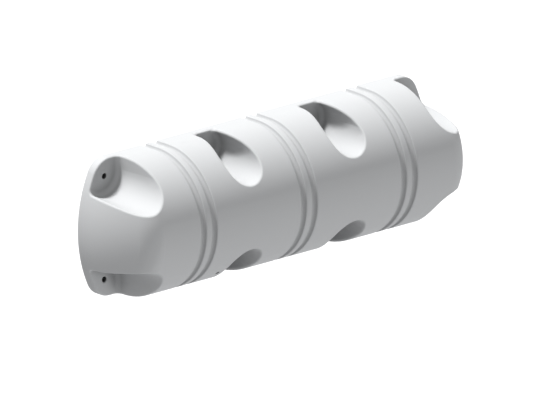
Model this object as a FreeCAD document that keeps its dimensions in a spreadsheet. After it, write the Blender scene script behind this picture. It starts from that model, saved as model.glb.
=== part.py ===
import FreeCAD, Part
import math
import os
import Sketcher
from FreeCAD import Vector

# Half-round dock fender, moulded in one piece and screwed flat against a pile or quay.
# X runs along its length, Z is up, and the flat back lies in the plane Y = 0.
# The round front points to -Y. The origin is the middle of the flat back.
# One quarter of the fender is drawn and then mirrored to the other three.

doc = FreeCAD.newDocument("DockFender")

# Driving dimensions, in millimetres and degrees.
SIZES = {
    # Whole body: a half circle in front of a short straight part
    "body_length": 694,
    "body_diameter": 220,
    "straight_depth": 29.5,
    "back_edge_round": 1.5,
    # Dished ends: a flat crown that turns into the barrel through a tighter corner
    "crown_radius": 210,
    "corner_radius": 35,
    # Pairs of round-bottomed grooves round the front, with a rib in the middle of each pair
    "groove_spacing": 203,
    "groove_pitch": 22,
    "groove_depth": 4.8,
    "groove_bottom_radius": 5.6,
    "groove_edge_round": 2.5,
    # Wells that reach from the front to the screw flange at the back. The middle ones reach
    # past the top by the breakout, and the end ones keep their distance from the end and the top
    "flange_thickness": 16,
    "middle_well_place": 105,
    "middle_well_breakout": 3.5,
    "middle_well_radius": 29.5,
    "middle_well_draft": 2,
    "end_well_inset": 32,
    "end_well_drop": 21,
    "end_well_radius": 36,
    "end_well_draft": 4,
    "floor_fillet": 8,
    "mouth_round": 3,
    # Screw holes through the flange. The end ones are nearer the middle, and lower, than their wells
    "screw_hole_diameter": 9,
    "screw_hole_chamfer": 1,
    "end_hole_shift": 9,
    "end_hole_drop": 7,
    # Small blind vent hole low on the round front, this many degrees below level
    "vent_diameter": 7,
    "vent_depth": 14,
    "vent_place": -152,
    "vent_angle": 50.3,
}

# Places that follow from the sizes
PLACES = {
    "middle_well_height": "=body_diameter / 2 + middle_well_breakout - middle_well_radius",
    "end_well_place": "=body_length / 2 - end_well_inset",
    "end_well_height": "=body_diameter / 2 - end_well_drop",
    "end_hole_place": "=end_well_place - end_hole_shift",
    "end_hole_height": "=end_well_height - end_hole_drop",
}

sheet = doc.addObject("Spreadsheet::Sheet", "Sizes")
for row, (alias, value) in enumerate({**SIZES, **PLACES}.items(), start=1):
    sheet.set(f"A{row}", str(value))
    sheet.setAlias(f"A{row}", alias)
doc.recompute()

body = doc.addObject("PartDesign::Body", "FenderBody")
body.Label = "fender_body"


def origin_plane(role):
    for feature in body.Origin.OriginFeatures:
        if feature.Role == role:
            return feature
    raise ValueError(f"no origin plane {role}")


def front_sketch(name, depth):
    # A sketch that faces the front, at this depth in front of the flat back
    sketch = body.newObject("Sketcher::SketchObject", name)
    sketch.AttachmentSupport = [(origin_plane("XZ_Plane"), "")]
    sketch.MapMode = "FlatFace"
    sketch.setExpression("AttachmentOffset.Base.z", depth)
    doc.recompute()
    return sketch


def value_of(sketch, formula):
    return float(sketch.evalExpression(formula))


def bind(sketch, constraint, formula):
    index = sketch.addConstraint(constraint)
    name = f"size{index}"
    sketch.renameConstraint(index, name)
    sketch.setExpression(f"Constraints.{name}", formula)


def arc_between(start, end, radius, turn):
    # The short arc from start to end: turn is +1 to the left, -1 to the right
    chord = end - start
    middle = (start + end) * 0.5
    rise = math.sqrt(radius ** 2 - (chord.Length / 2) ** 2)
    side = Vector(-chord.y, chord.x, 0).normalize()
    centre = middle + side * rise * turn
    first, last = (start, end) if turn > 0 else (end, start)
    first_angle = math.atan2(first.y - centre.y, first.x - centre.x)
    last_angle = math.atan2(last.y - centre.y, last.x - centre.x)
    circle = Part.Circle(centre, Vector(0, 0, 1), radius)
    return Part.ArcOfCircle(circle, first_angle, last_angle)


def closed_outline(sketch, stops):
    # Each stop is a point, as two formulas, with the radius and turn of the arc that
    # leaves it. A stop with no radius starts a straight line.
    points = [Vector(value_of(sketch, x), value_of(sketch, y), 0) for x, y, *_ in stops]
    ends = []
    for number, (x, y, *bend) in enumerate(stops):
        start, end = points[number], points[(number + 1) % len(points)]
        if bend:
            radius, turn = bend
            arc = arc_between(start, end, value_of(sketch, radius), turn)
            index = sketch.addGeometry(arc, False)
            ends.append((index, 1, 2) if turn > 0 else (index, 2, 1))
        else:
            index = sketch.addGeometry(Part.LineSegment(start, end), False)
            ends.append((index, 1, 2))
    for number, (index, first, last) in enumerate(ends):
        following, next_first, _ = ends[(number + 1) % len(ends)]
        sketch.addConstraint(Sketcher.Constraint("Coincident", index, last, following, next_first))
    for (x, y, *bend), point, (index, first, _) in zip(stops, points, ends):
        bind(sketch, Sketcher.Constraint("DistanceX", index, first, point.x), x)
        bind(sketch, Sketcher.Constraint("DistanceY", index, first, point.y), y)
        if bend:
            radius = value_of(sketch, bend[0])
            bind(sketch, Sketcher.Constraint("Radius", index, radius), bend[0])


def round_hole_sketch(name, depth, x, y, diameter):
    sketch = front_sketch(name, depth)
    centre = Vector(value_of(sketch, x), value_of(sketch, y), 0)
    radius = value_of(sketch, diameter) / 2
    index = sketch.addGeometry(Part.Circle(centre, Vector(0, 0, 1), radius), False)
    bind(sketch, Sketcher.Constraint("DistanceX", index, 3, centre.x), x)
    bind(sketch, Sketcher.Constraint("DistanceY", index, 3, centre.y), y)
    bind(sketch, Sketcher.Constraint("Diameter", index, 2 * radius), diameter)
    return sketch


def cut(kind, sketch, name, **settings):
    # Adds a feature that takes material away, and makes sure that it did
    before = body.Tip.Shape.Volume
    feature = body.newObject(f"PartDesign::{kind}", name)
    feature.Profile = sketch
    for setting, value in settings.items():
        setattr(feature, setting, value)
    doc.recompute()
    if not feature.Shape.Volume < before:
        raise ValueError(f"{name} cuts nothing")


# Quarter of the outline: upper half, from the middle of the length to one end.
# A groove's round bottom turns into the barrel through a rounded edge on each side.
HALF_LENGTH = "Sizes.body_length / 2"
TOP = "Sizes.body_diameter / 2"
GROOVE_RADII = "(Sizes.groove_bottom_radius + Sizes.groove_edge_round)"
GROOVE_REACH = f"sqrt(2 * Sizes.groove_depth * {GROOVE_RADII} - Sizes.groove_depth ^ 2)"
BOTTOM_SHARE = f"Sizes.groove_bottom_radius / {GROOVE_RADII}"
BEND_REACH = f"{GROOVE_REACH} * {BOTTOM_SHARE}"
BEND_HEIGHT = f"({TOP} - Sizes.groove_depth + Sizes.groove_depth * {BOTTOM_SHARE})"
CROWN_CENTRE = f"({HALF_LENGTH} - Sizes.crown_radius)"
CORNER_DROP = f"({TOP} - Sizes.corner_radius)"
CENTRE_GAP = "(Sizes.crown_radius - Sizes.corner_radius)"
CORNER_RUN = f"sqrt({CENTRE_GAP} ^ 2 - {CORNER_DROP} ^ 2)"
CORNER_CENTRE = f"{CROWN_CENTRE} + {CORNER_RUN}"
CROWN_SHARE = f"Sizes.crown_radius / {CENTRE_GAP}"


def groove_stops(middle):
    # A groove's outline, from where it leaves the barrel to where it comes back
    return [
        (f"{middle} - {GROOVE_REACH}", TOP, "Sizes.groove_edge_round", -1),
        (f"{middle} - {BEND_REACH}", BEND_HEIGHT, "Sizes.groove_bottom_radius", 1),
        (f"{middle} + {BEND_REACH}", BEND_HEIGHT, "Sizes.groove_edge_round", -1),
        (f"{middle} + {GROOVE_REACH}", TOP),
    ]


stops = [("0", "0"), ("0", TOP)]
stops += groove_stops("Sizes.groove_pitch / 2")
stops += groove_stops("(Sizes.groove_spacing - Sizes.groove_pitch / 2)")
stops += groove_stops("(Sizes.groove_spacing + Sizes.groove_pitch / 2)")
stops += [
    (CORNER_CENTRE, TOP, "Sizes.corner_radius", -1),
    (f"{CROWN_CENTRE} + {CORNER_RUN} * {CROWN_SHARE}",
     f"{CORNER_DROP} * {CROWN_SHARE}", "Sizes.crown_radius", -1),
    (HALF_LENGTH, "0"),
]
outline = front_sketch("QuarterOutline", "Sizes.straight_depth")
closed_outline(outline, stops)
doc.recompute()

straight = body.newObject("PartDesign::Pad", "StraightPart")
straight.Profile = outline
straight.Reversed = True
straight.setExpression("Length", "Sizes.straight_depth")
doc.recompute()

front = body.newObject("PartDesign::Revolution", "RoundFront")
front.Profile = outline
front.ReferenceAxis = (outline, ["H_Axis"])
front.Angle = 90
doc.recompute()

# The wells run from the front of the flange to the front of the fender, wider to the front
FLANGE_FRONT = "-Sizes.flange_thickness"
FENDER_FRONT = "-(Sizes.straight_depth + Sizes.body_diameter / 2)"
WELL_RUN = "(Sizes.straight_depth + Sizes.body_diameter / 2 - Sizes.flange_thickness)"


def well_sketch(name, well):
    # A level sketch through the middle of a well, with the well's axis as its own Y axis
    sketch = body.newObject("Sketcher::SketchObject", name)
    sketch.AttachmentSupport = [(origin_plane("XY_Plane"), "")]
    sketch.MapMode = "FlatFace"
    sketch.setExpression("AttachmentOffset.Base.x", f"Sizes.{well}_place")
    sketch.setExpression("AttachmentOffset.Base.z", f"Sizes.{well}_height")
    doc.recompute()
    return sketch


def mouth_radius(well):
    return f"(Sizes.{well}_radius + {WELL_RUN} * tan(Sizes.{well}_draft * 1 deg))"


def round_well(name, well):
    sketch = well_sketch(f"{name}Outline", well)
    closed_outline(sketch, [
        ("0", FLANGE_FRONT),
        (f"Sizes.{well}_radius", FLANGE_FRONT),
        (mouth_radius(well), FENDER_FRONT),
        ("0", FENDER_FRONT),
    ])
    cut("Groove", sketch, name, ReferenceAxis=(sketch, ["V_Axis"]))


# Middle well: round, and open at the top of the barrel where it breaks out
round_well("MiddleWell", "middle_well")

# End well: the lower half is as round, and above it the well is open to the top and the end,
# behind a flat inner wall
round_well("EndWell", "end_well")
opening = well_sketch("EndOpeningOutline", "end_well")
closed_outline(opening, [
    ("-Sizes.end_well_radius", FLANGE_FRONT),
    (f"-{mouth_radius('end_well')}", FENDER_FRONT),
    (HALF_LENGTH, FENDER_FRONT),
    (HALF_LENGTH, FLANGE_FRONT),
])
doc.recompute()
cut("Pocket", opening, "EndOpening", Type="ThroughAll", Reversed=True)


def screw_hole(name, x, y):
    sketch = round_hole_sketch(f"{name}Outline", "0", x, y, "Sizes.screw_hole_diameter")
    doc.recompute()
    cut("Pocket", sketch, name, Type="ThroughAll", Reversed=True)


# Screw holes, through the flange from the flat back into each well
screw_hole("MiddleScrewHole", "Sizes.middle_well_place", "Sizes.middle_well_height")
screw_hole("EndScrewHole", "Sizes.end_hole_place", "Sizes.end_hole_height")


def middle_of(edge):
    return edge.valueAt((edge.FirstParameter + edge.LastParameter) / 2)


def size(name):
    return float(sheet.get(name))


def lies_at_depth(edge, depth):
    return abs(edge.BoundBox.YMin + depth) < 0.01 and abs(edge.BoundBox.YMax + depth) < 0.01


def is_hole_rim(edge):
    return abs(edge.Length - math.pi * size("screw_hole_diameter")) < 0.01


def is_well_foot(edge, well):
    # Where the wall of a well rises from the flange, round or along the flat inner wall
    radius = size(f"{well}_radius")
    for place in (edge.FirstParameter, (edge.FirstParameter + edge.LastParameter) / 2, edge.LastParameter):
        beside = edge.valueAt(place).x - size(f"{well}_place")
        above = edge.valueAt(place).z - size(f"{well}_height")
        if abs(math.hypot(beside, above) - radius) > 0.01 and abs(beside + radius) > 0.01:
            return False
    return lies_at_depth(edge, size("flange_thickness"))


SKIN = front.Shape.Solids[0].Shells[0]
SKIN_EDGES = Part.Compound([edge for edge in front.Shape.Edges if not edge.Degenerated])
BETWEEN_WELLS = (size("middle_well_place") + size("end_well_place")) / 2


def is_mouth(edge):
    # A new edge on the skin of the uncut fender, away from its flat back
    spot = Part.Vertex(middle_of(edge))
    return (not lies_at_depth(edge, 0) and spot.distToShape(SKIN)[0] < 0.01
            and spot.distToShape(SKIN_EDGES)[0] > 0.01)


def is_end_mouth(edge):
    return middle_of(edge).x > BETWEEN_WELLS and is_mouth(edge)


def is_middle_mouth(edge):
    return middle_of(edge).x < BETWEEN_WELLS and is_mouth(edge)


def is_back_outline(edge):
    point = middle_of(edge)
    return (lies_at_depth(edge, 0) and not is_hole_rim(edge)
            and point.x > 0.01 and point.z > 0.01)


def is_front_hole_rim(edge):
    return is_hole_rim(edge) and lies_at_depth(edge, size("flange_thickness"))


def reshape_edges(kind, size_name, radius, name, wanted):
    # Rounds or chamfers the edges of the last shape for which wanted(edge) is true
    base = body.Tip
    names = [f"Edge{number}" for number, edge in enumerate(base.Shape.Edges, start=1)
             if not edge.Degenerated and wanted(edge)]
    feature = body.newObject(f"PartDesign::{kind}", name)
    feature.Base = (base, names)
    feature.setExpression(size_name, f"Sizes.{radius}")
    doc.recompute()


reshape_edges("Fillet", "Radius", "floor_fillet", "EndFloorFillet",
              lambda edge: is_well_foot(edge, "end_well"))
reshape_edges("Fillet", "Radius", "mouth_round", "EndMouthRound", is_end_mouth)
reshape_edges("Fillet", "Radius", "mouth_round", "MiddleMouthRound", is_middle_mouth)
reshape_edges("Fillet", "Radius", "floor_fillet", "MiddleFloorFillet",
              lambda edge: is_well_foot(edge, "middle_well"))
reshape_edges("Fillet", "Radius", "back_edge_round", "BackRound", is_back_outline)
reshape_edges("Chamfer", "Size", "screw_hole_chamfer", "HoleChamfer", is_front_hole_rim)

# The quarter is mirrored to the other end, and both to the lower half
whole = body.newObject("PartDesign::MultiTransform", "WholeFender")
whole.TransformMode = "Whole shape"
other_end = body.newObject("PartDesign::Mirrored", "OtherEnd")
other_end.MirrorPlane = (origin_plane("YZ_Plane"), [""])
lower_half = body.newObject("PartDesign::Mirrored", "LowerHalf")
lower_half.MirrorPlane = (origin_plane("XY_Plane"), [""])
whole.Transformations = [other_end, lower_half]
body.Tip = whole
doc.recompute()

# The vent hole is square to the round front, and its sketch lies at the blind end
VENT_REACH = "(Sizes.body_diameter / 2 - Sizes.vent_depth)"
vent_outline = round_hole_sketch("VentOutline", "0", "Sizes.vent_place", "0", "Sizes.vent_diameter")
vent_outline.AttachmentOffset = FreeCAD.Placement(Vector(), FreeCAD.Rotation(Vector(1, 0, 0), 1))
for part, formula in {
    "Base.y": f"-{VENT_REACH} * sin(Sizes.vent_angle * 1 deg)",
    "Base.z": f"Sizes.straight_depth + {VENT_REACH} * cos(Sizes.vent_angle * 1 deg)",
    "Rotation.Angle": "Sizes.vent_angle * 1 deg",
}.items():
    vent_outline.setExpression(f"AttachmentOffset.{part}", formula)
doc.recompute()
cut("Pocket", vent_outline, "Vent", Type="ThroughAll", Reversed=True)

os.makedirs("parts", exist_ok=True)
for thing in doc.Objects:
    if "Invalid" in thing.State or "Error" in thing.State:
        raise ValueError(f"{thing.Name} failed: {thing.State}")
if body.Shape.isNull() or not body.Shape.isValid():
    raise ValueError("fender_body has no valid shape")
body.Shape.exportStep(f"parts/{body.Label}.step")
print(body.Label, body.Shape.BoundBox, round(body.Shape.Volume))
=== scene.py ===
import math

import bpy
from mathutils import Matrix, Vector


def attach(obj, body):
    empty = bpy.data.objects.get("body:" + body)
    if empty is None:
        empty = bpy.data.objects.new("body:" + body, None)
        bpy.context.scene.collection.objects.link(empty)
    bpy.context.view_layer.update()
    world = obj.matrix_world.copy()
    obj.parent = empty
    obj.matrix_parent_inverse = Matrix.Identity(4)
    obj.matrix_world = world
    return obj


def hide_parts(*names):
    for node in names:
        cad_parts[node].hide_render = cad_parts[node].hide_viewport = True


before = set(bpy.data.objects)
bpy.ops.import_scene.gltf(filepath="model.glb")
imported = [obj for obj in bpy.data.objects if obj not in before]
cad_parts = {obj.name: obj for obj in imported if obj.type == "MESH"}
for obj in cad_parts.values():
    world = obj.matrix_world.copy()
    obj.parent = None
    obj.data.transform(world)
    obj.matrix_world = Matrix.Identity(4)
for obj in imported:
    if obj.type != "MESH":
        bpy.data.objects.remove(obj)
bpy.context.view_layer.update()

# Half-round dock fender in satin plastic, flat back upright, hung clear of a pale floor.
# X runs along the fender, Z is up, and the round front faces -Y. Everything is in metres.


def addNode(tree, kind, **values):
    node = tree.nodes.new(kind)
    for name, value in values.items():
        setattr(node, name, value)
    return node


def linkNodes(tree, source, outName, target, inName):
    # A socket is given by its name, or by its place where the node has one name more than once
    tree.links.new(source.outputs[outName], target.inputs[inName])


def newMaterial(name):
    material = bpy.data.materials.new(name)
    material.use_nodes = True
    material.node_tree.nodes.clear()
    return material, material.node_tree


def byLook(tree, elsewhere, seen):
    # One value where the camera or a reflection looks, and another for light passed on
    path = addNode(tree, "ShaderNodeLightPath")
    looked = addNode(tree, "ShaderNodeMath", operation="MAXIMUM")
    lookedThrough = addNode(tree, "ShaderNodeMath", operation="MAXIMUM")
    linkNodes(tree, path, "Is Camera Ray", looked, 0)
    linkNodes(tree, path, "Is Glossy Ray", looked, 1)
    linkNodes(tree, looked, "Value", lookedThrough, 0)
    linkNodes(tree, path, "Is Transmission Ray", lookedThrough, 1)
    strength = addNode(tree, "ShaderNodeMapRange")
    strength.inputs["To Min"].default_value = elsewhere
    strength.inputs["To Max"].default_value = seen
    linkNodes(tree, lookedThrough, "Value", strength, "Value")
    return strength


# Plastic of the fender
plastic = {
    "color": (0.80, 0.812, 0.822, 1.0),  # light grey-white, a little cool
    "roughness": 0.65,
    "specular": 0.12,
    # Painted shade in hollows, by size: how far each looks for its other side, at what openness
    # the painted shade starts and ends, and how much of the colour is left deep inside
    "paintedCreaseShade": (0.03, 0.9, 0.3, 0.5),
    "paintedBoreShade": (0.01, 0.65, 0.3, 0.08),
    "paintedShadeSamples": 16,
    "paintedBounceShade": 0.38,  # painted shade: the plastic's colour for the light it passes on, so its own hollows get less bounce
    "grainSize": 900.0,
    "grainDetail": 2.0,
    "grainDepth": 0.00002,
}


# Painted shade: darkens the colour where ambient occlusion finds the surface closed in
def paintShadeInHollows(tree, samples, reach, openFrom, openTo, left):
    openness = addNode(tree, "ShaderNodeAmbientOcclusion", samples=samples)
    openness.inputs["Distance"].default_value = reach
    hollowShade = addNode(tree, "ShaderNodeMapRange")
    hollowShade.inputs["From Min"].default_value = openTo
    hollowShade.inputs["From Max"].default_value = openFrom
    hollowShade.inputs["To Min"].default_value = left
    linkNodes(tree, openness, "AO", hollowShade, "Value")
    return hollowShade


def makePlastic(values):
    material, tree = newMaterial("fenderPlastic")
    output = addNode(tree, "ShaderNodeOutputMaterial")
    shader = addNode(tree, "ShaderNodeBsdfPrincipled")
    shader.inputs["Roughness"].default_value = values["roughness"]
    shader.inputs["Specular IOR Level"].default_value = values["specular"]
    linkNodes(tree, shader, "BSDF", output, "Surface")

    # The plastic's colour carries painted shade: darker for its bounce light, and darker again in
    # creases and bores
    paintedShade = byLook(tree, values["paintedBounceShade"], 1.0)
    for hollow in ("paintedCreaseShade", "paintedBoreShade"):
        hollowShade = paintShadeInHollows(tree, values["paintedShadeSamples"], *values[hollow])
        joinedShade = addNode(tree, "ShaderNodeMath", operation="MULTIPLY")
        linkNodes(tree, hollowShade, "Result", joinedShade, 0)
        linkNodes(tree, paintedShade, 0, joinedShade, 1)
        paintedShade = joinedShade
    shadedColor = addNode(tree, "ShaderNodeMix", data_type="RGBA", blend_type="MULTIPLY")
    shadedColor.inputs["Factor"].default_value = 1.0
    shadedColor.inputs["A"].default_value = values["color"]
    linkNodes(tree, paintedShade, "Value", shadedColor, "B")
    linkNodes(tree, shadedColor, "Result", shader, "Base Color")

    grain = addNode(tree, "ShaderNodeTexNoise")
    grain.inputs["Scale"].default_value = values["grainSize"]
    grain.inputs["Detail"].default_value = values["grainDetail"]
    place = addNode(tree, "ShaderNodeTexCoord")
    linkNodes(tree, place, "Object", grain, "Vector")
    bump = addNode(tree, "ShaderNodeBump")
    bump.inputs["Distance"].default_value = values["grainDepth"]
    linkNodes(tree, grain, "Fac", bump, "Height")
    linkNodes(tree, bump, "Normal", shader, "Normal")
    return material


# Moulding
moulding = {
    "body": "fender_body",
    "normalLimit": 25.0,  # degrees that a shading normal may stand off its own face
    "stepsPerMetre": 1e5,  # corners that lie within one step of each other are one point
}


def placeKey(point, steps):
    return tuple(round(value * steps) for value in point)


def mendNormals(mesh, limit, steps):
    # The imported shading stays, apart from corners at the poles of the dished ends and on slivers
    facesAt = {}
    for face in mesh.polygons:
        for vertex in face.vertices:
            place = placeKey(mesh.vertices[vertex].co, steps)
            facesAt.setdefault(place, []).append(face)
    normals = [corner.vector.copy() for corner in mesh.corner_normals]
    mended = 0
    for face in mesh.polygons:
        for corner, vertex in zip(face.loop_indices, face.vertices):
            if normals[corner].angle(face.normal, 0) <= limit:
                continue
            place = placeKey(mesh.vertices[vertex].co, steps)
            near = [other for other in facesAt[place]
                    if other.normal.angle(face.normal, 0) < limit]
            joined = sum((other.normal * other.area for other in near), Vector())
            normals[corner] = joined.normalized()
            mended += 1
    mesh.normals_split_custom_set(normals)
    return mended


def makeMoulding(values):
    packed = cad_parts[values["body"]]
    mesh = packed.data.copy()
    mesh.name = "fenderMoulding"
    limit = math.radians(values["normalLimit"])
    mended = mendNormals(mesh, limit, values["stepsPerMetre"])
    piece = bpy.data.objects.new("fenderMoulding", mesh)
    bpy.context.scene.collection.objects.link(piece)
    piece.matrix_world = packed.matrix_world
    mesh.materials.clear()
    mesh.materials.append(makePlastic(plastic))
    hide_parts(values["body"])
    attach(piece, "root")
    print("moulding:", len(mesh.polygons), "faces,", mended, "shading corners mended")


makeMoulding(moulding)

# Studio
studio = {
    "floorHeight": -0.62,
    "floorSize": 24.0,
    "floorRoughness": 0.8,
    "floorColor": (0.82, 0.82, 0.82, 1.0),
    "floorGlow": 0.3,  # added where the camera looks, so that the lit floor is white
    "glowColor": (1.0, 1.0, 1.0, 1.0),
    "bounceColor": (0.25, 0.25, 0.253, 1.0),  # the floor as the fender sees it
    "skyStrength": 0.37,  # soft light from all round
    "backdropStrength": 1.0,  # the sky where the camera looks: 1 is white
}

lamps = {  # where the light comes from, strength, softness in degrees
    "keyLight": ((-0.21, 0.31, 0.925), 2.97, 10.0),
    "leftFill": ((-0.8, -0.3, 0.5), 0.19, 50.0),
    "lowFill": ((0.5, -0.5, -0.7), 0.8, 50.0),
}


def makeWorld(values):
    world = bpy.data.worlds.new("studioWorld")
    bpy.context.scene.world = world
    world.use_nodes = True
    tree = world.node_tree
    tree.nodes.clear()
    strength = byLook(tree, values["skyStrength"], values["backdropStrength"])
    background = addNode(tree, "ShaderNodeBackground")
    output = addNode(tree, "ShaderNodeOutputWorld")
    linkNodes(tree, strength, "Result", background, "Strength")
    linkNodes(tree, background, "Background", output, "Surface")


def makeFloor(values):
    half = values["floorSize"] / 2
    height = values["floorHeight"]
    corners = [(-half, -half, height), (half, -half, height),
               (half, half, height), (-half, half, height)]
    mesh = bpy.data.meshes.new("studioFloor")
    mesh.from_pydata(corners, [], [(0, 1, 2, 3)])
    floor = bpy.data.objects.new("studioFloor", mesh)
    bpy.context.scene.collection.objects.link(floor)
    floor.visible_shadow = False  # the low fill lamp shines up through it
    material, tree = newMaterial("studioFloor")
    shader = addNode(tree, "ShaderNodeBsdfPrincipled")
    shader.inputs["Roughness"].default_value = values["floorRoughness"]
    shader.inputs["Specular IOR Level"].default_value = 0.0
    shader.inputs["Emission Color"].default_value = values["glowColor"]
    looked = byLook(tree, 0.0, 1.0)
    color = addNode(tree, "ShaderNodeMix", data_type="RGBA")
    color.inputs["A"].default_value = values["bounceColor"]
    color.inputs["B"].default_value = values["floorColor"]
    linkNodes(tree, looked, "Result", color, "Factor")
    linkNodes(tree, color, "Result", shader, "Base Color")
    glow = byLook(tree, 0.0, values["floorGlow"])
    linkNodes(tree, glow, "Result", shader, "Emission Strength")
    output = addNode(tree, "ShaderNodeOutputMaterial")
    linkNodes(tree, shader, "BSDF", output, "Surface")
    mesh.materials.append(material)


def makeLamp(name, comesFrom, strength, softness):
    light = bpy.data.lights.new(name, "SUN")
    light.energy = strength
    light.angle = math.radians(softness)
    lamp = bpy.data.objects.new(name, light)
    bpy.context.scene.collection.objects.link(lamp)
    lamp.rotation_euler = Vector(comesFrom).to_track_quat("Z", "Y").to_euler()


makeWorld(studio)
makeFloor(studio)
for name, values in lamps.items():
    makeLamp(name, *values)
print("studio: floor and", len(lamps), "lamps set")

# Camera
view = {
    "turn": 41.8,  # degrees round to the left of the front
    "rise": 17.9,  # degrees above level
    "pixelsPerMetre": 661.2,
    "frameWidth": 542,
    "centre": (0.0, -0.0295, 0.0),  # the point of the fender that the next line is measured from
    "offset": (9.65, -11.5),  # middle of the picture, in its pixels right of and above that point
    "distance": 2.5,  # from the middle of the picture, which doesn't change the size in it
}


def makeCamera(values):
    turn, rise = math.radians(values["turn"]), math.radians(values["rise"])
    right = Vector((math.cos(turn), -math.sin(turn), 0))
    up = Vector((math.sin(turn) * math.sin(rise), math.cos(turn) * math.sin(rise), math.cos(rise)))
    back = right.cross(up)
    scale = values["pixelsPerMetre"]
    across, above = values["offset"]
    middle = Vector(values["centre"]) + (right * across + up * above) / scale
    data = bpy.data.cameras.new("photoCamera")
    data.type = "ORTHO"
    data.ortho_scale = values["frameWidth"] / scale
    camera = bpy.data.objects.new("photoCamera", data)
    bpy.context.scene.collection.objects.link(camera)
    turned = Matrix((right, up, back)).transposed().to_4x4()
    camera.matrix_world = Matrix.Translation(middle + back * values["distance"]) @ turned
    bpy.context.scene.camera = camera


makeCamera(view)
bpy.context.scene.view_settings.view_transform = "Standard"
print("camera: set to the photo's view")
